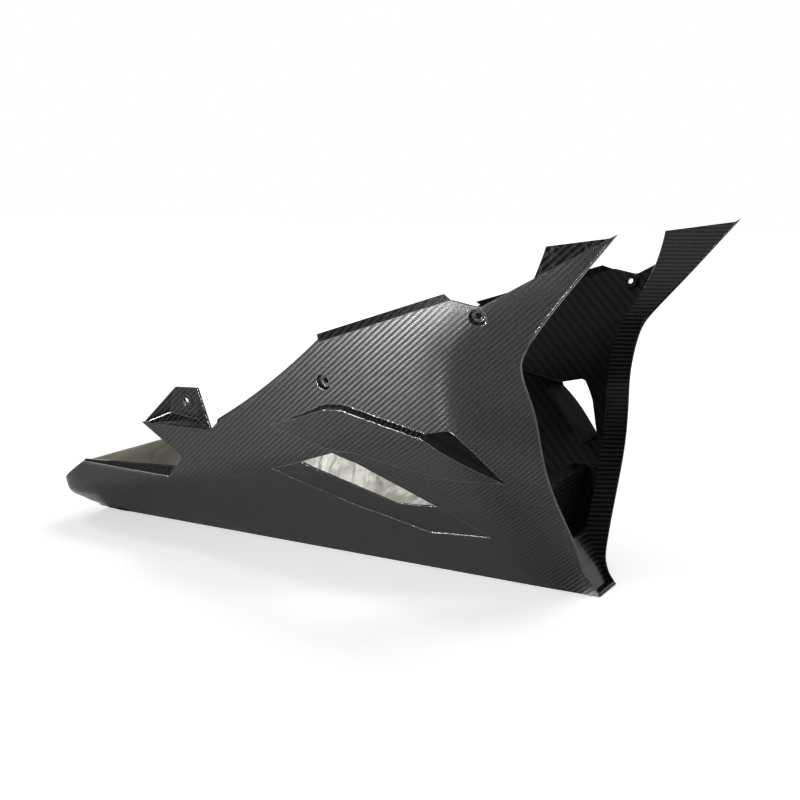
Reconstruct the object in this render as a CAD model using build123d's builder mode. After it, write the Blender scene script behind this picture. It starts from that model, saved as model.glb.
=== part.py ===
from build123d import *
from math import cos, exp, radians, sin, sqrt
import os

# Motorcycle belly pan: one carbon moulding with heat foil inside its rear walls.
# Millimetres, X to the front of the motorcycle, Y to its left, Z up.
# The origin is under the middle of the pan, on the flat of the keel.

# Laminate
wall = 2.0
leaning_wall = 1.2 * wall
ramp_wall = 1.4 * wall
lug_wall = 1.3 * wall
step_wall = 2.0 * wall
tail_wall = 2.0 * wall
keel_floor = 1.5 * wall
foil_thickness = 0.4
foil_bond = 0.35

# Overall stations and heights
tail_x = -346.0
tip_x = 346.0
tip_z = 349.0

# Cross-section: keel flat, bottom panel up to the knee, side panel above the knee
main_x = 190.0
keel_half = 22.0
keel_growth = 0.0262
knee_half = 161.0
knee_half_growth = 0.1533
knee_z = 162.0
knee_z_growth = 0.2385
side_lean = 0.263
knee_blend = 8.0
full_width_x = 225.0
full_width_blend = 30.0
upright_z = 292.0
upright_blend = 16.0
tail_round_run = 34.0
tail_round_start = tail_x + tail_round_run
tail_round_length = 38.0
tail_round_share = 0.15
tail_round_power = 2.5

# Leading edge and the band behind it, which turns inwards
lead_x = 252.5
lead_corner_z = 240.0
lead_lower_z = 222.0
lead_corner_blend = 12.0
lead_lower_slope = 0.085
lead_upper_slope = 0.86
nose_reach = 12.0
nose_z = 30.0
band_width = 58.0
band_blend = 14.0
band_turn = 24.0
band_turn_fall = 0.025
band_bulge = 26.0
band_bulge_z = 184.0
band_bulge_span = 48.0
band_fade_z = 24.0

# Return flange behind the leading edge
return_setback = 0.8
return_inset = 1.2
return_width = 22.0
return_growth = 0.0028
return_growth_z = 215.0
return_angle = 25.0
return_low_z = 18.0
flap_x = 278.0
flap_z = 337.0

# Side outline, as stations and heights
deck_low_z = 51.0
deck_length = 48.0
deck_front = (tail_x + deck_length, 80.0)
fold_front = (-167.5, 80.5)
notch_low = (-150.0, 97.0)
notch_top = (-139.5, 107.0)
notch_round = 3.0
lug_rear = (-188.0, 140.0)
lug_front = (-91.0, 143.0)
valley = (-81.5, 150.5)
edge_middle = (-7.0, 194.5)
crease_rear = (66.0, 246.5)
crease_front = (209.5, 293.5)
dip = (236.0, 288.5)
dip_round = 12.0

# Flange along the top edge and rolled edge behind it, both turned inwards from the crease
flange_rear = (59.5, 252.5)
flange_front = (199.0, 297.0)
flange_lean = 0.9
flange_lap = 0.8
roll_rise = 4.7
roll_lean = 0.85

# Raised blade with its bevelled step and the scoop hole
blade_rear = (-10.0, 157.0)
blade_top_rear = (62.0, 187.5)
blade_top_front = (83.0, 189.0)
scoop_rear = (168.0, 171.0)
scoop_tip = (225.0, 124.5)
scoop_crown = (193.0, 176.5)
scoop_front = (208.0, 156.5)
scoop_crown_radius = 7.0
blade_proud = 6.0
blade_base = 0.3
blade_drop = 48.0
blade_lap = 1.0
blade_fade_x = 250.0
blade_fade_length = 80.0
step_height = 5.0
scoop_floor_depth = 46.0
scoop_floor_lap = 4.0

# Lower vent and the sunken ramp under it
vent_rear = (15.5, 122.5)
vent_apex = (59.5, 138.0)
vent_shoulder = (84.0, 130.0)
vent_front = (149.5, 87.0)
vent_low = (101.5, 84.0)
ramp_rear = (-21.0, 110.0)
ramp_middle = (48.0, 77.0)
ramp_low = (124.0, 52.0)
ramp_tip = (190.0, 57.0)
ramp_edge_depth = 0.7
ramp_slope = 0.09

# Dished screw seats
seat_upper = (232.5, 279.5)
seat_middle = (64.0, 208.5)
seat_radius = 8.0
seat_floor_radius = 5.5
seat_depth = 4.0
screw_hole_radius = 3.0

# Dished lug with its tab
lug_depth = 14.0
tab_top_rear = (-141.0, 181.0)
tab_top_front = (-110.0, 183.0)
tab_low_front = (-119.0, 149.0)
tab_low_rear = (-156.0, 152.0)
tab_hole = (-129.0, 167.5)

# Tail lip that leans inwards, sloping tail deck
lip_rise_front = 9.5
lip_rise_rear = 2.0
lip_lean = 1.3

# Chin panel at the nose and the cross web behind it
chin_top = (247.0, 47.0)
chin_foot = (276.0, 2.0)
web_x = 225.0
web_top_z = 97.0
web_shelf = 18.0

# Heat foil outline, as stations and heights
foil_tail_room = 54.0
foil_low_rear = (tail_x + foil_tail_room, 38.0)
foil_low_middle = (-190.0, 22.0)
foil_low_front = (95.0, 14.0)
foil_rear_top = (tail_x + foil_tail_room, 72.0)
foil_fold_top = (-172.0, 72.0)
foil_notch_top = (-128.0, 106.0)
foil_lug_top = (-98.0, 128.0)
foil_top_front = (-34.0, 152.0)
foil_ramp_rear = (-30.0, 104.0)
foil_ramp_middle = (44.0, 69.0)
foil_ramp_front = (95.0, 48.0)

# Working sizes: grids of the curved faces, and lengths that reach past the pan
skin_count = 36
skin_crowding = 1.35
skin_tolerance = 0.05
skin_over = 5.0
hollow_over = 13.0
hollow_past_front = 14.0
patch_counts = (24, 16)
patch_margin = 10.0
return_counts = (30, 5)
edge_count = 9
return_over = 3.0
drill_length = 16.0
room = 420.0
across = (0, 1, 0)


def smooth_plus(value, blend):
    """The value where it is positive and nought below, with a rounded corner."""
    return 0.5 * (value + sqrt(value * value + blend * blend))


def leading_edge(z):
    """Station of the front edge at height z."""
    lower = lead_lower_slope * smooth_plus(lead_lower_z - z, lead_corner_blend)
    upper = lead_upper_slope * smooth_plus(z - lead_corner_z, lead_corner_blend)
    nose = nose_reach * max(0.0, 1.0 - z / nose_z) ** 2
    return lead_x + lower + upper + nose


def knee(x):
    """Half width and height of the knee, and half width of the keel, at station x."""
    run = x - smooth_plus(x - full_width_x, full_width_blend) - main_x
    return knee_half + knee_half_growth * run, knee_z + knee_z_growth * run, keel_half + keel_growth * run


def half_width(x, z):
    """Half width of the outer face at station x and height z."""
    at_knee, height, keel = knee(x)
    bottom = keel + (at_knee - keel) * z / height
    side = at_knee + side_lean * (z - height)
    width = 0.5 * (bottom + side - sqrt((bottom - side) ** 2 + knee_blend**2))
    width -= side_lean * smooth_plus(z - upright_z, upright_blend)
    tail = max(0.0, (tail_round_start - x) / tail_round_length)
    width *= 1.0 - tail_round_share * tail**tail_round_power
    turn = band_turn - band_turn_fall * z + band_bulge * exp(-(((z - band_bulge_z) / band_bulge_span) ** 2))
    turn *= 1.0 - exp(-max(z, 0.0) / band_fade_z)
    behind = leading_edge(z) - x
    return width - turn * smooth_plus(band_width - behind, band_blend) / band_width


def skin_point(x, z, inset=0.0):
    """Point of the right-hand outer face, moved inwards along its normal by the inset."""
    step = 0.5
    along = (half_width(x + step, z) - half_width(x - step, z)) / (2 * step)
    up = (half_width(x, z + step) - half_width(x, z - step)) / (2 * step)
    size = sqrt(1 + along**2 + up**2)
    return (x + inset * along / size, inset / size - half_width(x, z), z + inset * up / size)


def spaced(start, end, count):
    """Evenly spaced values from start to end."""
    return [start + (end - start) * i / (count - 1) for i in range(count)]


def hull_skin(rear, past_front, low, high, inset):
    """Whole right-hand face, from the tail to the leading edge."""
    rows = []
    for share in spaced(0.0, 1.0, skin_count):
        row = []
        for height_share in spaced(0.0, 1.0, skin_count):
            z = low + (high - low) * height_share**skin_crowding
            front = leading_edge(z) + past_front
            row.append(skin_point(rear + (front - rear) * share, z, inset))
        rows.append(row)
    return Face.make_surface_from_array_of_points(rows, tol=skin_tolerance)


def patch(outline, place):
    """Curved face through place(x, z), a little larger than a side-view outline."""
    stations = [point[0] for point in outline]
    heights = [point[1] for point in outline]
    rows = []
    for x in spaced(min(stations) - patch_margin, max(stations) + patch_margin, patch_counts[0]):
        row = []
        for z in spaced(min(heights) - patch_margin, max(heights) + patch_margin, patch_counts[1]):
            row.append(place(x, z))
        rows.append(row)
    return Face.make_surface_from_array_of_points(rows, tol=skin_tolerance)


def line_at(x, first, last):
    """Height at station x on the straight line through two points."""
    return first[1] + (last[1] - first[1]) * (x - first[0]) / (last[0] - first[0])


def blade_top(x):
    """Height of the blade's upper edge at station x."""
    if x < blade_top_rear[0]:
        return line_at(x, blade_rear, blade_top_rear)
    if x < blade_top_front[0]:
        return line_at(x, blade_top_rear, blade_top_front)
    if x < scoop_rear[0]:
        return line_at(x, blade_top_front, scoop_rear)
    return line_at(x, scoop_rear, scoop_tip)


def blade_swell(x):
    """How far the blade's upper edge stands proud at station x."""
    rise = min(1.0, max(0.0, (x - blade_rear[0]) / (blade_top_rear[0] - blade_rear[0])))
    fall = min(1.0, max(0.0, (blade_fade_x - x) / blade_fade_length))
    return blade_proud * rise * fall


def outside(x, z, proud):
    """Point that stands proud of the right-hand outer face, measured across the pan."""
    return (x, -half_width(x, z) - proud, z)


def rear_edge(x):
    """Height of the wall's rear edge at station x, on a parabola through its three points."""
    sag = edge_middle[1] - line_at(edge_middle[0], valley, crease_rear)
    middle = (edge_middle[0] - valley[0]) * (edge_middle[0] - crease_rear[0])
    return line_at(x, valley, crease_rear) + sag * (x - valley[0]) * (x - crease_rear[0]) / middle


def flange_place(x, z):
    """The top flange leans inwards from the crease."""
    return outside(x, z, -flange_lean * (z - line_at(x, crease_rear, crease_front) + flange_lap))


def roll_place(x, z):
    """The rolled edge leans inwards from the wall's rear edge."""
    return outside(x, z, -roll_lean * (z - rear_edge(x) + flange_lap))


def blade_rise(x, z):
    """How far the blade stands proud, more towards its upper edge."""
    return blade_base + blade_swell(x) * (blade_drop + z - blade_top(x)) / blade_drop


def blade_place(x, z):
    """Outer face of the blade."""
    return outside(x, z, blade_rise(x, z))


def scoop_floor_place(x, z):
    """The scoop's floor starts inside the blade's thickness."""
    return outside(x, z, blade_rise(x, z) - 0.5 * wall)


def step_place(x, z):
    """The bevelled step swells from nothing at its upper edge."""
    return outside(x, z, blade_swell(x) * (blade_top(x) - z) / step_height)


def ramp_place(x, z):
    """The ramp sinks inwards towards the vent."""
    edge = line_at(x, ramp_rear, ramp_middle) if x < ramp_middle[0] else line_at(x, ramp_middle, ramp_low)
    return outside(x, z, -ramp_edge_depth - ramp_slope * max(0.0, z - max(edge, ramp_low[1])))


def lip_place(x, z):
    """The tail lip leans inwards above the fold."""
    return outside(x, z, -lip_lean * (z - fold_front[1] + wall))


def foil_place(x, z):
    """The heat foil follows the inside of the wall."""
    return skin_point(x, z, wall + foil_bond)


def lowered(point, drop):
    """The same station, lower by the drop."""
    return (point[0], point[1] - drop)


# Side-view outlines of the panels

step_line = [blade_rear, blade_top_rear, blade_top_front, scoop_rear]
step_foot = [lowered(point, step_height) for point in step_line[1:]]
step_outline = step_line + step_foot[::-1]
blade_foot = [lowered(point, blade_drop - blade_lap) for point in step_line[:0:-1]]
blade_outline = [blade_rear] + step_foot + [scoop_tip] + blade_foot
blade_room = step_line + [scoop_tip] + blade_foot
vent_outline = [vent_rear, vent_apex, vent_shoulder, vent_front, vent_low]
ramp_outline = [ramp_rear, vent_rear, vent_low, vent_front, ramp_tip, ramp_low, ramp_middle]
scoop_lip_rear = scoop_rear[0] - scoop_floor_lap
scoop_lip = [(scoop_lip_rear, line_at(scoop_lip_rear, step_foot[-1], scoop_tip)), scoop_tip]
scoop_floor_outline = scoop_lip + [lowered(point, leaning_wall) for point in scoop_lip[::-1]]
flange_foot = [lowered(crease_front, flange_lap), lowered(crease_rear, flange_lap)]
flange_outline = [flange_rear, flange_front] + flange_foot
rear_line = [(x, rear_edge(x)) for x in spaced(valley[0], crease_rear[0], edge_count)]
roll_foot = [lowered(point, flange_lap) for point in rear_line]
roll_outline = roll_foot + [lowered(point, -roll_rise) for point in rear_line[::-1]]
lip_outline = [
    lowered(deck_front, wall),
    lowered(fold_front, wall),
    (fold_front[0] + lip_rise_front, fold_front[1] + lip_rise_front),
    (deck_front[0], deck_front[1] + lip_rise_rear),
]
foil_outline = [
    foil_low_rear,
    foil_rear_top,
    foil_fold_top,
    foil_notch_top,
    foil_lug_top,
    foil_top_front,
    foil_ramp_rear,
    foil_ramp_middle,
    foil_ramp_front,
    foil_low_front,
    foil_low_middle,
]

# Top flange and the rolled edge behind it

with BuildPart() as top_flange:
    extrude(patch(flange_outline, flange_place), amount=leaning_wall, dir=across)
    with BuildSketch(Plane.XZ):
        with BuildLine():
            Polyline(*flange_outline, close=True)
        make_face()
    extrude(amount=room, mode=Mode.INTERSECT)

with BuildPart() as rolled_edge:
    extrude(patch(roll_outline, roll_place), amount=leaning_wall, dir=across)
    with BuildSketch(Plane.XZ):
        with BuildLine():
            Polyline(*roll_outline, close=True)
        make_face()
    extrude(amount=room, mode=Mode.INTERSECT)

# Raised blade and its bevelled step

with BuildPart() as blade:
    extrude(patch(blade_outline, blade_place), amount=leaning_wall, dir=across)
    with BuildSketch(Plane.XZ):
        with BuildLine():
            Polyline(*blade_outline, close=True)
        make_face()
        with BuildLine():
            Polyline(*vent_outline, close=True)
        make_face(mode=Mode.SUBTRACT)
    extrude(amount=room, mode=Mode.INTERSECT)

with BuildPart() as blade_step:
    extrude(patch(step_outline, step_place), amount=step_wall, dir=across)
    with BuildSketch(Plane.XZ):
        with BuildLine():
            Polyline(*step_outline, close=True)
        make_face()
    extrude(amount=room, mode=Mode.INTERSECT)

# Floor of the scoop, running inwards from the blade's lip

with BuildPart() as scoop_floor:
    extrude(patch(scoop_floor_outline, scoop_floor_place), amount=scoop_floor_depth, dir=across)
    with BuildSketch(Plane.XZ):
        with BuildLine():
            Polyline(*scoop_floor_outline, close=True)
        make_face()
    extrude(amount=room, mode=Mode.INTERSECT)

# Sunken ramp under the vent

with BuildPart() as ramp:
    extrude(patch(ramp_outline, ramp_place), amount=ramp_wall, dir=across)
    with BuildSketch(Plane.XZ):
        with BuildLine():
            Polyline(*ramp_outline, close=True)
        make_face()
    extrude(amount=room, mode=Mode.INTERSECT)

# Return flange behind the leading edge


def return_point(z, share):
    """Point of the return flange, from the leading edge inwards and rearwards."""
    x = leading_edge(z) - return_setback
    y = -half_width(leading_edge(z), z) + return_inset
    width = return_width + return_growth * max(0.0, z - return_growth_z) ** 2
    run = share * width
    return (x - run * cos(radians(return_angle)), y + run * sin(radians(return_angle)), z)


return_rows = []
for z in spaced(return_low_z, tip_z + return_over, return_counts[0]):
    return_rows.append([return_point(z, share) for share in spaced(0.0, 1.0, return_counts[1])])
return_skin = Face.make_surface_from_array_of_points(return_rows, tol=skin_tolerance)

with BuildPart() as return_flange:
    extrude(
        return_skin,
        amount=wall,
        dir=(-sin(radians(return_angle)), -cos(radians(return_angle)), 0),
    )
    with BuildSketch(Plane.XZ):
        with BuildLine():
            Polyline((tip_x, tip_z - wall), (flap_x, flap_z), (0, flap_z), (0, 0), (tip_x, 0), close=True)
        make_face()
    extrude(amount=room, mode=Mode.INTERSECT)

# Dished lug: a tab set inwards, with sloping facets out to the wall


def lug_point(place, depth):
    """Point of the lug at a side-view place, at a depth inside the extended wall."""
    x, z = place
    return (x, depth - half_width(x, z), z)


lug_edge = [lug_point(lowered(lug_rear, wall), 0.6 * wall), lug_point(lowered(lug_front, wall), 0.6 * wall)]
tab_centre = lug_point(tab_hole, lug_depth)


def tab_point(place):
    """Point of the flat tab, which leans as the wall does."""
    x, z = place
    along = knee_half_growth - side_lean * knee_z_growth
    return (x, tab_centre[1] - along * (x - tab_hole[0]) - side_lean * (z - tab_hole[1]), z)


tab = [tab_point(place) for place in (tab_top_rear, tab_top_front, tab_low_front, tab_low_rear)]

with BuildPart() as lug:
    for facet in (
        [tab[0], tab[1], tab[2], tab[3]],
        [lug_edge[0], lug_edge[1], tab[2]],
        [lug_edge[0], tab[2], tab[3]],
        [lug_edge[0], tab[3], tab[0]],
        [lug_edge[1], tab[1], tab[2]],
    ):
        extrude(Face(Wire.make_polygon(facet)), amount=lug_wall, dir=across)

# Tail lip, leaning inwards over the fold

with BuildPart() as tail_lip:
    extrude(patch(lip_outline, lip_place), amount=leaning_wall, dir=across)
    with BuildSketch(Plane.XZ):
        with BuildLine():
            Polyline(*lip_outline, close=True)
        make_face()
    extrude(amount=room, mode=Mode.INTERSECT)

# Sloping tail deck, chin panel and cross web, each reaching from the middle to mid-wall


def reach(x, z):
    """Distance from the middle to mid-wall."""
    return half_width(x, z) - 0.5 * wall


deck_turn = (tail_round_start, line_at(tail_round_start, (tail_x, deck_low_z), deck_front))
chin_middle = ((chin_top[0] + chin_foot[0]) / 2, (chin_top[1] + chin_foot[1]) / 2)
chin_base = (chin_foot[0] - wall, chin_foot[1] + 0.5 * wall)

with BuildPart() as tail_deck:
    with BuildSketch(Plane.XZ):
        with BuildLine():
            Polyline(
                (tail_x + 0.5 * wall, deck_low_z),
                deck_front,
                lowered(deck_front, wall),
                (tail_x + 0.5 * wall, deck_low_z - wall),
                close=True,
            )
        make_face()
    extrude(amount=room)
    with BuildSketch(Plane.XY):
        with BuildLine():
            Polyline(
                (tail_x, 0),
                (deck_front[0], 0),
                (deck_front[0], -reach(*deck_front)),
                (deck_turn[0], -reach(*deck_turn)),
                (tail_x + wall, -reach(tail_x + wall, deck_low_z)),
                (tail_x, -reach(tail_x + wall, deck_low_z)),
                close=True,
            )
        make_face()
    extrude(amount=room, mode=Mode.INTERSECT)

with BuildPart() as chin:
    with BuildSketch(Plane.XZ):
        with BuildLine():
            Polyline(
                chin_foot,
                chin_top,
                (chin_top[0] - wall, chin_top[1]),
                (chin_foot[0] - 1.3 * wall, chin_foot[1] - 0.5 * wall),
                close=True,
            )
        make_face()
    extrude(amount=room)
    with BuildSketch(Plane.YZ):
        with BuildLine():
            Polyline(
                (0, 0),
                (0, chin_top[1]),
                (-reach(*chin_top), chin_top[1]),
                (-reach(*chin_middle), chin_middle[1]),
                (-reach(*chin_base), chin_base[1]),
                (-reach(*chin_base), 0),
                close=True,
            )
        make_face()
    extrude(amount=room, mode=Mode.INTERSECT)

with BuildPart() as cross_web:
    with BuildSketch(Plane.YZ.offset(web_x)):
        with BuildLine():
            rim = [(-reach(web_x, z), z) for z in spaced(0.5 * wall, web_top_z, 5)]
            Polyline((0, 0.5 * wall), *rim, (0, web_top_z), close=True)
        make_face()
    extrude(amount=-wall)
    with BuildSketch(Plane.XY.offset(web_top_z)):
        with BuildLine():
            shelf_x = web_x - web_shelf
            Polyline(
                (web_x, 0),
                (web_x, -reach(web_x, web_top_z - wall)),
                (shelf_x, -reach(shelf_x, web_top_z - wall)),
                (shelf_x, 0),
                close=True,
            )
        make_face()
    extrude(amount=-wall)

# Screw seats


def seat_plane(place):
    """Plane at the floor's underside of a screw seat, looking out of the wall."""
    surface = Vector(*skin_point(*place))
    inside = Vector(*skin_point(*place, wall))
    outward = (surface - inside).normalized()
    return Plane(origin=surface - outward * (seat_depth + wall), x_dir=(1, 0, 0), z_dir=outward)


# Heat foil on the inside of the walls

with BuildPart() as heat_foil_right:
    extrude(patch(foil_outline, foil_place), amount=foil_thickness, dir=across)
    with BuildSketch(Plane.XZ):
        with BuildLine():
            Polyline(*foil_outline, close=True)
        make_face()
    extrude(amount=room, mode=Mode.INTERSECT)

with BuildPart() as heat_foil_left:
    mirror(heat_foil_right.part, about=Plane.XZ)

# Outer and inner form of the right-hand half

outer_skin = hull_skin(tail_x, 0.0, 0.0, tip_z + skin_over, 0.0)
inner_skin = hull_skin(tail_x + tail_wall, hollow_past_front, keel_floor, tip_z + hollow_over, wall)

with BuildPart() as hollow:
    extrude(inner_skin, amount=room, dir=across)

with BuildPart() as belly_pan:
    extrude(outer_skin, amount=room, dir=across)
    split(bisect_by=Plane.XZ, keep=Keep.TOP)
    add(hollow.part, mode=Mode.SUBTRACT)
    with BuildSketch(Plane.XZ) as side_outline:
        with BuildLine():
            Polyline((tail_x, -wall), (tail_x, deck_low_z), deck_front)
            FilletPolyline(deck_front, fold_front, notch_low, notch_top, lug_rear, radius=notch_round)
            Polyline(lug_rear, lug_front, valley)
            Spline(*rear_line)
            FilletPolyline(crease_rear, crease_front, dip, (tip_x, tip_z), radius=dip_round)
            Polyline((tip_x, tip_z), (tip_x, -wall), (tail_x, -wall))
        make_face()
    extrude(amount=room, mode=Mode.INTERSECT)
    add(return_flange.part)
    with BuildSketch(Plane.XZ) as openings:
        with BuildLine():
            Polyline(*vent_outline, close=True)
        make_face()
        with BuildLine():
            Line(scoop_rear, scoop_tip)
            FilletPolyline(scoop_tip, scoop_front, scoop_crown, scoop_rear, radius=scoop_crown_radius)
        make_face()
        with BuildLine():
            Polyline(*blade_room, close=True)
        make_face()
        with BuildLine():
            Polyline(*ramp_outline, close=True)
        make_face()
    extrude(amount=room, mode=Mode.SUBTRACT)
    panels = (top_flange, rolled_edge, blade, blade_step, scoop_floor, ramp)
    pieces = panels + (lug, tail_lip, tail_deck, chin, cross_web)
    for piece in pieces:
        add(piece.part)
    for seat in (seat_upper, seat_middle):
        with Locations(seat_plane(seat)):
            Cone(
                seat_floor_radius + wall,
                seat_radius + wall,
                seat_depth + 0.6 * wall,
                align=(Align.CENTER, Align.CENTER, Align.MIN),
            )
        with Locations(seat_plane(seat).offset(wall)):
            Cone(
                seat_floor_radius,
                seat_radius + 0.5 * wall,
                seat_depth + wall,
                align=(Align.CENTER, Align.CENTER, Align.MIN),
                mode=Mode.SUBTRACT,
            )
        with Locations(seat_plane(seat)):
            Cylinder(screw_hole_radius, drill_length, mode=Mode.SUBTRACT)
    with Locations(Plane(origin=tab_centre, z_dir=seat_plane(tab_hole).z_dir)):
        Cylinder(screw_hole_radius, drill_length, mode=Mode.SUBTRACT)
    mirror(about=Plane.XZ)

os.makedirs("parts", exist_ok=True)
belly_pan.part.label = "belly_pan_shell"
export_step(belly_pan.part, "parts/belly_pan_shell.step")
heat_foil_right.part.label = "heat_foil_right"
export_step(heat_foil_right.part, "parts/heat_foil_right.step")
heat_foil_left.part.label = "heat_foil_left"
export_step(heat_foil_left.part, "parts/heat_foil_left.step")
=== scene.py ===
# %% [markdown]
# A belly pan hangs under a motorcycle's engine. This one is a single carbon moulding with crinkled heat
# foil glued inside its rear walls. The CAD model gives the true size and place of everything, so the
# lesson starts by loading it.

from math import cos, pi, radians, sin

import bpy
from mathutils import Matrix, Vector, geometry, noise


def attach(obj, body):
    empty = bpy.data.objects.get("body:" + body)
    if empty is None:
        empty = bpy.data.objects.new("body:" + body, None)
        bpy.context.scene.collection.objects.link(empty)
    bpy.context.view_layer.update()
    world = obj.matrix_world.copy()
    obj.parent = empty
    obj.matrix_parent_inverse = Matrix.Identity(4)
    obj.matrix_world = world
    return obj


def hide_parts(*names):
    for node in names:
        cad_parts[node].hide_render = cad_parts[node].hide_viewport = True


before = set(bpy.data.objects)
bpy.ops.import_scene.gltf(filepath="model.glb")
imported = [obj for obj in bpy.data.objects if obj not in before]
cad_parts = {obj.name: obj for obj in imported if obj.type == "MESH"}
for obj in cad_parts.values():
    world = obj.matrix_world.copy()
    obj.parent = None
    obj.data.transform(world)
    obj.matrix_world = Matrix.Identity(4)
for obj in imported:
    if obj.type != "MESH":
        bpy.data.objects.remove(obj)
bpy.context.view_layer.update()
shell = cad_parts["belly_pan_shell"]
print("nodes:", sorted(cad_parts))

# %% [markdown]
# Every finish below is a node tree. Written out node by node, even a plain weave becomes hundreds of
# lines, so a small class wraps a socket: arithmetic on it adds the Math nodes, and one method adds any
# other node.


# %% Sockets that do sums
class Signal:
    """A node's output. Sums on it add Math nodes to its tree."""

    def __init__(self, tree, socket):
        self.tree = tree
        self.socket = socket

    def math(self, operation, *values):
        node = self.tree.nodes.new("ShaderNodeMath")
        node.operation = operation
        for socket, value in zip(node.inputs, values):
            plug(self.tree, socket, value)
        return Signal(self.tree, node.outputs[0])

    def __add__(self, other):
        return self.math("ADD", self, other)

    def __sub__(self, other):
        return self.math("SUBTRACT", self, other)

    def __rsub__(self, other):
        return self.math("SUBTRACT", other, self)

    def __mul__(self, other):
        return self.math("MULTIPLY", self, other)

    def __truediv__(self, other):
        return self.math("DIVIDE", self, other)

    def __mod__(self, other):
        return self.math("FLOORED_MODULO", self, other)

    def __lt__(self, other):
        return self.math("LESS_THAN", self, other)

    def __gt__(self, other):
        return self.math("GREATER_THAN", self, other)

    def __abs__(self):
        return self.math("ABSOLUTE", self)

    __radd__ = __add__
    __rmul__ = __mul__

    def floor(self):
        return self.math("FLOOR", self)

    def sine(self):
        return self.math("SINE", self)

    def sign(self):
        return self.math("SIGN", self)

    def root(self):
        return self.math("SQRT", self)

    def at_least(self, other):
        return self.math("MAXIMUM", self, other)

    def at_most(self, other):
        return self.math("MINIMUM", self, other)

    def between(self, low, high):
        """0 at low and below, 1 at high and above, straight between them."""
        return ((self - low) / (high - low)).at_least(0.0).at_most(1.0)


def plug(tree, socket, value):
    """Links a signal to a socket, or sets the socket's own value."""
    if isinstance(value, Signal):
        tree.links.new(value.socket, socket)
    else:
        socket.default_value = value


class Finish:
    """The node tree of a material or of the world, with one method for every kind of node."""

    def __init__(self, owner):
        owner.use_nodes = True
        self.owner = owner
        self.tree = owner.node_tree
        self.tree.nodes.clear()

    def node(self, kind, settings=None, sockets=None, output=0):
        node = self.tree.nodes.new("ShaderNode" + kind)
        for key, value in (settings or {}).items():
            setattr(node, key, value)
        for key, value in (sockets or {}).items():
            plug(self.tree, node.inputs[key], value)
        return Signal(self.tree, node.outputs[output]) if node.outputs else None

    def parts(self, vector):
        """The three parts of a vector."""
        first = self.node("SeparateXYZ", None, {0: vector})
        return [Signal(self.tree, socket) for socket in first.socket.node.outputs]

    def blend(self, share, first, second):
        """A colour between two colours."""
        return self.node("Mix", {"data_type": "RGBA"}, {0: share, 6: first, 7: second}, output=2)


print("sockets ready")

# %% [markdown]
# Carbon cloth is woven from flat tows of black fibre. In a twill each tow passes over two and under two,
# one step further along in each row, which draws the diagonal ribs. An image of cloth would blur up close
# and stretch over the curves, so the tows are counted by arithmetic: the difference of the two tow
# numbers says which one is on top. A bundle of fibres flashes over its whole width when the light stands
# square to it, as a turned rod does. So every tow gets a tilted back. A lengthwise one curves a little
# more steeply towards its upper side, and a crosswise one is rounded as well.

# %% Carbon twill
repeat = 4.0
over_count = 2.0
warp_height = 0.25
warp_tilt = 0.1
warp_curve = 0.12
warp_dip = 0.012
weft_round = 0.06
weft_tilt = 0.18


def twill(u, v, tow):
    """1 where a lengthwise tow is on top at (u, v), and the height of the upper tow's back in mm."""
    across, up = u / tow, v / tow
    column, row = across.floor(), up.floor()
    lengthwise = (column - row) % repeat < over_count
    dip = (((across - row) % repeat) * (2 * pi / repeat)).sine() * warp_dip
    share = up - row
    back_warp = warp_height - share * warp_tilt - share * share * warp_curve + dip
    back_weft = ((across - column) * pi).sine() * weft_round - share * weft_tilt
    return lengthwise, (lengthwise * back_warp + (1.0 - lengthwise) * back_weft) * tow


print("tows of a repeat:", repeat)

# %% [markdown]
# The shell is one moulding with several surfaces. Outside, the cloth lies under a clear coat. Inside, it
# was pressed against a bag and stayed dull and dark. The return flange behind the front edge has its
# cloth cut at 45 degrees. The cut rims show bare brown-grey laminate, and foil lines the inside of the
# tail. Separate materials would need the mesh cut up. One material tells the surfaces apart by where a
# point is and which way it faces, so the CAD shell keeps its own mesh.

# %% Places on the shell, in mm
millimetre = 0.001
cloth_tow = 1.42
cloth_turn = radians(5.4)
bag_tow = 3.0
wall_up, wall_out = 0.909, 0.475
tail_end = -325.0
deck_front, deck_slope, deck_level = -297.0, 0.604, 258.0
deck_under_front, deck_under_foot = -290.0, 42.0
lining_front, lining_top = -160.0, 84.0
lug_front, lug_foot = -90.0, 141.0
lead_middle = 252.5
lead_low, lead_low_slope = 222.0, 0.085
lead_high, lead_high_slope = 240.0, 0.86
flange_width, flange_margin, flange_share = 22.0, 2.0, 0.906
flange_grows_from, flange_growth = 215.0, 0.0028
flange_stretch, diagonal = 1.1, 0.7071
flap_front, flap_foot = 240.0, 262.0
front_walls = 200.0
print("tows:", cloth_tow, "mm outside and", bag_tow, "mm inside")

# %% [markdown]
# Black carbon gets its look from three layers: fibre that is nearly black, the sheen of the tows' backs,
# and the clear coat. A coated Principled shader has all three, and the lengthwise tows are painted a
# lighter black as a painted sheen. The edges of a moulding are never sharp, and their thin bright lines
# draw its shape, so a Bevel node rounds them in the light, and a painted highlight marks them.

# %% Laminate of the shell
# Painted sheen: the lengthwise tows, outside and on the flange, get a lighter black than the crosswise
# ones, though all are the same fibre.
weft_black, warp_painted_sheen = (0.003, 0.003, 0.0033, 1), (0.026, 0.025, 0.026, 1)
flange_warp_painted_sheen = (0.03, 0.03, 0.032, 1)
# Painted highlight: the colour of the rounded edges, which are the same carbon as the rest.
edge_painted_highlight = (0.3, 0.3, 0.3, 1)
bag_blacks = (0.004, 0.004, 0.004, 1), (0.011, 0.011, 0.0108, 1)
cut_laminate = (0.075, 0.066, 0.058, 1)
foil_colours = (0.8, 0.785, 0.74, 1), (0.62, 0.6, 0.52, 1)
edge_round = 1.2 * millimetre
stain_scale = 26.0


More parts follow.
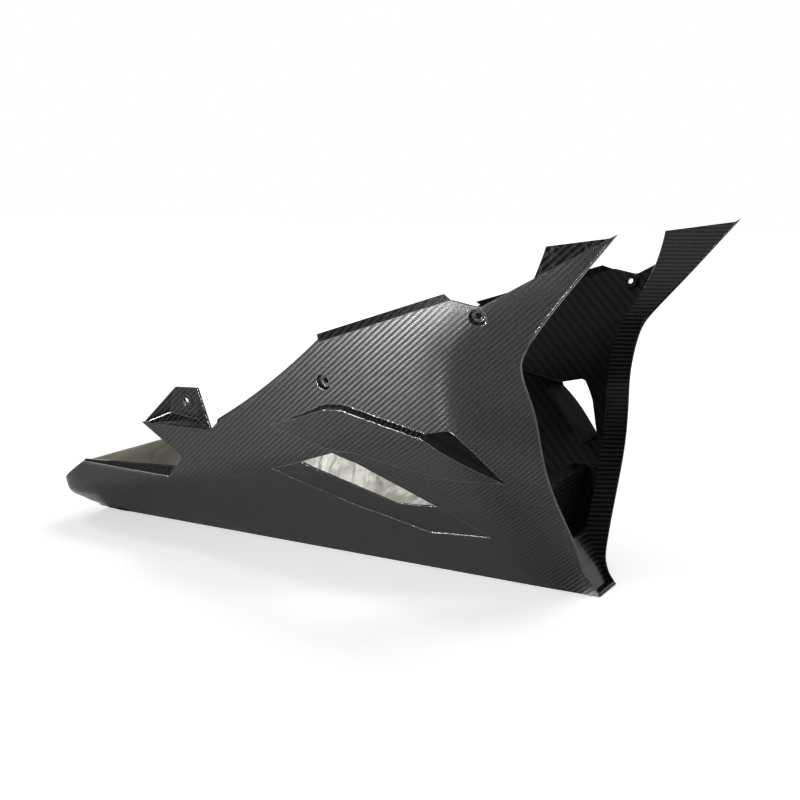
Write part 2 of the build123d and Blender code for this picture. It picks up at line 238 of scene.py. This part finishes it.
def laminate():
    finish = Finish(bpy.data.materials.new("carbon_laminate"))
    place = finish.node("NewGeometry", output="Position")
    x, y, z = [part * 1000.0 for part in finish.parts(place)]
    nx, ny, nz = finish.parts(finish.node("NewGeometry", output="True Normal"))
    outward = ny * y.sign()

    # Which surface of the moulding this is
    under_deck = (x < deck_under_front) * (nz < -0.5) * (z > deck_under_foot) * (abs(outward) < 0.3)
    end_inner = (x < tail_end) * (nx > 0.5)
    end_outer = (x < tail_end) * (nx < -0.5)
    outside = ((outward * 0.9 - nz * 0.45) > 0.0) * (1.0 - under_deck) * (1.0 - end_inner)
    deck = (x < deck_front) * (nz > 0.3) * (z - x * deck_slope > deck_level)
    gloss = outside.at_least(deck).at_least(end_outer)
    inner = 1.0 - gloss
    lead = lead_middle + (lead_low - z).at_least(0.0) * lead_low_slope
    lead = lead + (z - lead_high).at_least(0.0) * lead_high_slope
    over = (z - flange_grows_from).at_least(0.0)
    flange_reach = (flange_width + over * over * flange_growth) * flange_share + flange_margin
    flange = inner * ((lead - x) < flange_reach)
    flap = outside * (nx < -0.25) * (z > flap_foot) * (x > flap_front)
    walls = (abs(nx) > 0.7) * (x > front_walls) * (1.0 - flange) * (abs(outward) < 0.5)
    shelf = (nz > 0.7) * (nx > 0.5)
    rim = (abs(outward) < 0.3) * (abs(nz) < 0.98)
    for other in (deck, walls, flange, shelf, end_outer):
        rim = rim * (1.0 - other)
    lug = outside * (x < lug_front) * (z > lug_foot)
    polished = gloss.at_least(flange).at_least(walls) * (1.0 - rim)
    lined = inner * (x < lining_front) * (z < lining_top)

    # Cloth on the outside, on the flange at 45 degrees, and inside
    rise = z * wall_up + abs(y) * wall_out
    along, up = cos(cloth_turn), sin(cloth_turn)
    outer_warp, outer_back = twill(x * along - rise * up, x * up + rise * along, cloth_tow)
    run = (lead - x) * flange_stretch
    flange_warp, flange_back = twill((run + z) * diagonal, (run - z) * diagonal, cloth_tow)
    bag_warp, bag_back = twill(0.0 - x, rise, bag_tow)
    warp = outer_warp * gloss + flange_warp * inner
    back = outer_back * gloss + flange_back * 0.6 * flange
    back = back * (1.0 - walls) * (1.0 - flap) * (1.0 - lug)

    # Crumples of the flap
    crumple = finish.node("TexNoise", None, {"Vector": place, "Scale": 75.0, "Detail": 3.0}) * flap
    relief = back + crumple * 5.0

    # Rounded edges, found by comparing the bevelled normal with the plain one
    round_edge = finish.node("Bevel", {"samples": 6}, {"Radius": edge_round})
    plain = finish.node("NewGeometry", output="Normal")
    turned = finish.node("VectorMath", {"operation": "DOT_PRODUCT"}, {0: round_edge, 1: plain}, output=1)
    edge = (1.0 - turned).between(0.01, 0.06) * gloss

    # Painted sheen: lengthwise tows are coloured lighter than crosswise tows.
    colour = finish.blend(warp, weft_black, warp_painted_sheen)
    colour = finish.blend(flange * flange_warp, colour, flange_warp_painted_sheen)
    # Painted highlight: the edges get a light grey colour, metal and less roughness, so they show bright
    # lines.
    colour = finish.blend(edge, colour, edge_painted_highlight)
    bump = finish.node(
        "Bump", None, {"Strength": 1.0, "Distance": millimetre, "Height": relief, "Normal": round_edge}
    )
    # Painted shade: the lug keeps only a quarter of the coat, so its faces mirror less and look darker.
    coat = (gloss * 0.85).at_least(flange * 0.3).at_least(walls * 0.4) * (1.0 - flap) * (1.0 - lug * 0.75)
    clear_coated = finish.node(
        "BsdfPrincipled",
        None,
        {
            "Base Color": colour,
            "Metallic": edge * 0.8,
            "Roughness": (0.26 - flap * 0.06) * (1.0 - edge) + edge * 0.14,
            "Specular IOR Level": 0.4,
            "Coat Weight": coat,
            "Coat Roughness": 0.03,
            "Normal": bump,
        },
    )

    # Dull inside, cut rims and the foil that lines the tail
    stain = finish.node("TexNoise", None, {"Vector": place, "Scale": stain_scale, "Detail": 4.0})
    bare = finish.blend(bag_warp, *bag_blacks)
    bare = finish.blend(rim, bare, cut_laminate)
    bare = finish.blend(lined, bare, finish.blend(stain.between(0.35, 0.7), *foil_colours))
    bag_relief = bag_back * 0.12 * (1.0 - rim) * (1.0 - lined) + stain * 1.5 * lined
    bag_bump = finish.node("Bump", None, {"Strength": 1.0, "Distance": millimetre, "Height": bag_relief})
    bagged = finish.node(
        "BsdfPrincipled",
        None,
        {
            "Base Color": bare,
            "Metallic": lined * 0.15,
            "Roughness": 0.6 - lined * 0.2,
            "Specular IOR Level": 0.12,
            "Normal": bag_bump,
        },
    )
    surface = finish.node("MixShader", None, {0: polished, 1: bagged, 2: clear_coated})
    finish.node("OutputMaterial", None, {"Surface": surface})
    return finish.owner


shell.data.materials.clear()
shell.data.materials.append(laminate())
print("shell finish:", len(shell.data.materials[0].node_tree.nodes), "nodes")

# %% [markdown]
# The screw hole in each lug sits in a shallow dish with a raised rim, which catches the light as a ring.
# A torus would be too plump for it. The rim is turned as on a lathe: a closed profile of radius and
# height goes round the hole's axis, with its foot sunk in the tab.

# %% Dished rims of the lug holes
tab_middle = (-0.128893, -0.117824, 0.167818)
tab_axis = (-0.085754, -0.963361, -0.254131)
half_tab = 0.00125
rim_profile = [
    (0.0034, -0.0003), (0.0036, 0.0001), (0.0058, 0.0004), (0.0070, 0.0010),
    (0.0077, 0.0011), (0.0085, 0.0006), (0.0088, -0.0003),
]
rim_steps = 48


def smooth_piece(name, points, faces, finish):
    """Object with smooth faces and one finish."""
    mesh = bpy.data.meshes.new(name)
    mesh.from_pydata(points, [], faces)
    mesh.polygons.foreach_set("use_smooth", [True] * len(mesh.polygons))
    mesh.materials.append(finish)
    piece = bpy.data.objects.new(name, mesh)
    bpy.context.scene.collection.objects.link(piece)
    return piece


def dished_rim(name, mirror):
    """Ring round a lug's hole, on the right (1) or left (-1)."""
    turn = Vector((tab_axis[0], tab_axis[1] * mirror, tab_axis[2])).to_track_quat("Z", "Y")
    foot = Vector((tab_middle[0], tab_middle[1] * mirror, tab_middle[2])) + turn @ Vector((0, 0, half_tab))
    points, faces = [], []
    count = len(rim_profile)
    for step in range(rim_steps):
        angle = 2 * pi * step / rim_steps
        points += [foot + turn @ Vector((r * cos(angle), r * sin(angle), h)) for r, h in rim_profile]
        here, after = step * count, (step + 1) % rim_steps * count
        for i in range(count):
            j = (i + 1) % count
            faces.append((here + i, here + j, after + j, after + i))
    return smooth_piece(name, points, faces, shell.data.materials[0])


for name, mirror in (("lug_rim_right", 1), ("lug_rim_left", -1)):
    ring = dished_rim(name, mirror)
    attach(ring, "root")
    print(ring.name, len(ring.data.vertices), "points")

# %% [markdown]
# The heat foil is thin aluminium on a glass cloth, pressed by hand into the rear walls, so it is full of
# fine creases. The CAD foil is smooth. A sheet of small triangles is cut to the same outline, laid on the
# CAD foil by casting rays at it, and creased with a ridged noise, which gives sharp folds with flat
# ground between them.

# %% Crinkled foil
foil_outline = [
    (-0.292, 0.038), (-0.292, 0.072), (-0.172, 0.072), (-0.128, 0.106), (-0.098, 0.128), (-0.034, 0.152),
    (-0.030, 0.104), (0.044, 0.069), (0.095, 0.048), (0.095, 0.014), (-0.190, 0.022),
]
foil_spacing = 0.0019
foil_start = (-0.2905, 0.0155)
foil_length, foil_height = 0.387, 0.14
foil_inset = 0.0004
foil_lift = 0.0004
fine_crease, fine_scale = 0.00042, 64
broad_crease, broad_scale = 0.0005, 17


def foil_finish():
    finish = Finish(bpy.data.materials.new("heat_foil"))
    place = finish.node("NewGeometry", output="Position")
    scuff = finish.node("TexNoise", None, {"Vector": place, "Scale": 900.0, "Detail": 3.0})
    stain = finish.node("TexNoise", None, {"Vector": place, "Scale": stain_scale, "Detail": 4.0})
    colour = finish.blend(stain.between(0.35, 0.7), *foil_colours)
    bump = finish.node("Bump", None, {"Strength": 0.5, "Distance": 0.0002, "Height": scuff})
    shader = finish.node(
        "BsdfPrincipled",
        None,
        {"Base Color": colour, "Metallic": 0.45, "Roughness": 0.24 + stain * 0.2, "Normal": bump},
    )
    finish.node("OutputMaterial", None, {"Surface": shader})
    return finish.owner


def crease(x, z):
    """Height of the foil's creases above its smooth lie."""
    fine = noise.ridged_multi_fractal(Vector((x * fine_scale, z * fine_scale, 3.1)), 0.8, 2.1, 5, 1.0, 2.0)
    broad = noise.noise(Vector((x * broad_scale, z * broad_scale, 7.7)))
    return fine_crease * fine + broad_crease * broad


def foil_sheet(name, node, side, finish):
    """Sheet of creased foil laid on a CAD foil, on the right (-1) or left (1)."""
    middle = Vector((sum(p[0] for p in foil_outline), sum(p[1] for p in foil_outline))) / len(foil_outline)
    edge = []
    for first, last in zip(foil_outline, foil_outline[1:] + foil_outline[:1]):
        first, last = Vector(first), Vector(last)
        steps = max(1, round((last - first).length / foil_spacing))
        edge += [first.lerp(last, i / steps) for i in range(steps)]
    edge = [point + (middle - point).normalized() * foil_inset for point in edge]
    ground = []
    for i in range(int(foil_length / foil_spacing)):
        for j in range(int(foil_height / foil_spacing)):
            along, up = (i + 0.5 * (j % 2)) * foil_spacing, j * foil_spacing
            ground.append(Vector((foil_start[0] + along, foil_start[1] + up)))
    loop = list(range(len(edge)))
    places, _, faces, *_ = geometry.delaunay_2d_cdt(edge + ground, [], [loop], 1, 0.0002)
    points = []
    for place in places:
        start = Vector((place[0], 0.0, place[1]))
        hit, point, facing, _ = node.ray_cast(start, Vector((0, side, 0)))
        if not hit:
            _, point, facing, _ = node.closest_point_on_mesh(Vector((place[0], side * 0.08, place[1])))
        points.append(point + facing * (foil_lift + crease(place[0] + 0.5 * side, place[1])))
    return smooth_piece(name, points, faces, finish)


foil = foil_finish()
for name, side in (("heat_foil_right", -1), ("heat_foil_left", 1)):
    sheet = foil_sheet("crinkled_" + name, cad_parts[name], side, foil)
    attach(sheet, "root")
    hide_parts(name)
    print(sheet.name, len(sheet.data.vertices), "points")

# %% [markdown]
# The pan stands on white paper in a studio with a dark ceiling. A glossy black thing shows little but
# what it mirrors: the near wall leans over and mirrors the paper, whatever faces up mirrors the dark
# ceiling. The paper is diffuse, to keep the shadow, with a glow that only the camera sees, to stay white.
# The glow grows with the distance from the pan, because the lamps give less light there.

# %% White paper and the room
paper_mesh = bpy.data.meshes.new("paper")
paper_half = 8
corners = [(i * paper_half, j * paper_half, 0) for i, j in ((-1, -1), (1, -1), (1, 1), (-1, 1))]
paper_mesh.from_pydata(corners, [], [(0, 1, 2, 3)])
paper = bpy.data.objects.new("paper", paper_mesh)
bpy.context.scene.collection.objects.link(paper)
paper.location.z = -0.0005

white = Finish(bpy.data.materials.new("white_paper"))
seen = white.node("LightPath", output="Is Camera Ray")
matt = white.node("BsdfDiffuse", None, {"Color": (0.9, 0.9, 0.91, 1)})
px, py, _ = white.parts(white.node("NewGeometry", output="Position"))
far = (px * px + py * py).root().between(0.5, 1.4)
glow_colour = white.blend(seen * (0.6 + far * 0.4), (0, 0, 0, 1), (1, 1, 1, 1))
glow = white.node("Emission", None, {"Color": glow_colour, "Strength": 1.0})
white.node("OutputMaterial", None, {"Surface": white.node("AddShader", None, {0: matt, 1: glow})})
paper.data.materials.append(white.owner)

room = Finish(bpy.data.worlds.new("white_room"))
bpy.context.scene.world = room.owner
seen = room.node("LightPath", output="Is Camera Ray")
mirrored = room.node("LightPath", output="Is Glossy Ray")
_, depth, height = room.parts(room.node("TexCoord", output="Generated"))
backdrop = (1.0 - height * 2.5).at_least(0.04).at_most(1.0) * (0.2 + 0.8 * depth.between(-0.2, 0.4))
strength = seen.at_least(mirrored * backdrop).at_least((1.0 - mirrored) * 0.22)
light = room.node("Background", None, {"Color": (1, 1, 1, 1), "Strength": strength})
room.node("OutputWorld", None, {"Surface": light})
print("paper and room ready")

# %% [markdown]
# Four soft lamps light it. A low one at the front left rakes along the near wall: the tows' tilted backs
# catch it at the top front and lose it towards the tail. A weaker one, lower still, stands straight in
# front for the wing and the edge of the vent's ramp. One high at the left reaches into the tail for the
# foil. A wide one behind and above lights the paper, and the near wall's overhang then shades the paper
# along the keel. The two low ones have a narrow spread, as behind a grid, so that most of their light stays
# on the pan.


# %% Lamps
open_spread = radians(180)
grid_spread = radians(52)


def softbox(name, place, aim, size, energy, spread=open_spread):
    data = bpy.data.lights.new(name, "AREA")
    data.shape = "RECTANGLE"
    data.size, data.size_y = size
    data.energy = energy
    data.spread = spread
    lamp = bpy.data.objects.new(name, data)
    lamp.location = place
    lamp.rotation_euler = (Vector(aim) - lamp.location).to_track_quat("-Z", "Y").to_euler()
    bpy.context.scene.collection.objects.link(lamp)
    return lamp


key = softbox("low_softbox", (-0.74, -1.54, 0.22), (0.2, -0.17, 0.3), (0.22, 0.36), 2.1, grid_spread)
front = softbox("front_softbox", (-0.15, -1.45, 0.08), (0.2, -0.17, 0.1), (0.2, 0.12), 0.7, grid_spread)
over = softbox("foil_softbox", (-1.33, -0.31, 2.2), (-0.1, 0.0, 0.05), (0.35, 0.35), 5.2)
top = softbox("top_softbox", (0.3, 0.9, 2.2), (0, 0, 0), (2.0, 1.2), 18)
print("lamps:", key.name, front.name, over.name, top.name)

# %% [markdown]
# The camera stands in front of the pan on its right, a little above it. Its place was worked out from the
# photo's corners and edges, so the two pictures nearly lie over each other.

# %% Camera
camera_data = bpy.data.cameras.new("camera")
camera_data.lens = 56.25
camera_data.sensor_width = 36.0
camera = bpy.data.objects.new("camera", camera_data)
camera.location = (0.6745, -1.1, 0.39655)
camera.rotation_euler = Vector((-0.4838, 0.8565, -0.1799)).to_track_quat("-Z", "Y").to_euler()
bpy.context.scene.collection.objects.link(camera)
bpy.context.scene.camera = camera
bpy.context.scene.view_settings.view_transform = "Standard"
print("camera at", tuple(round(v, 3) for v in camera.location))
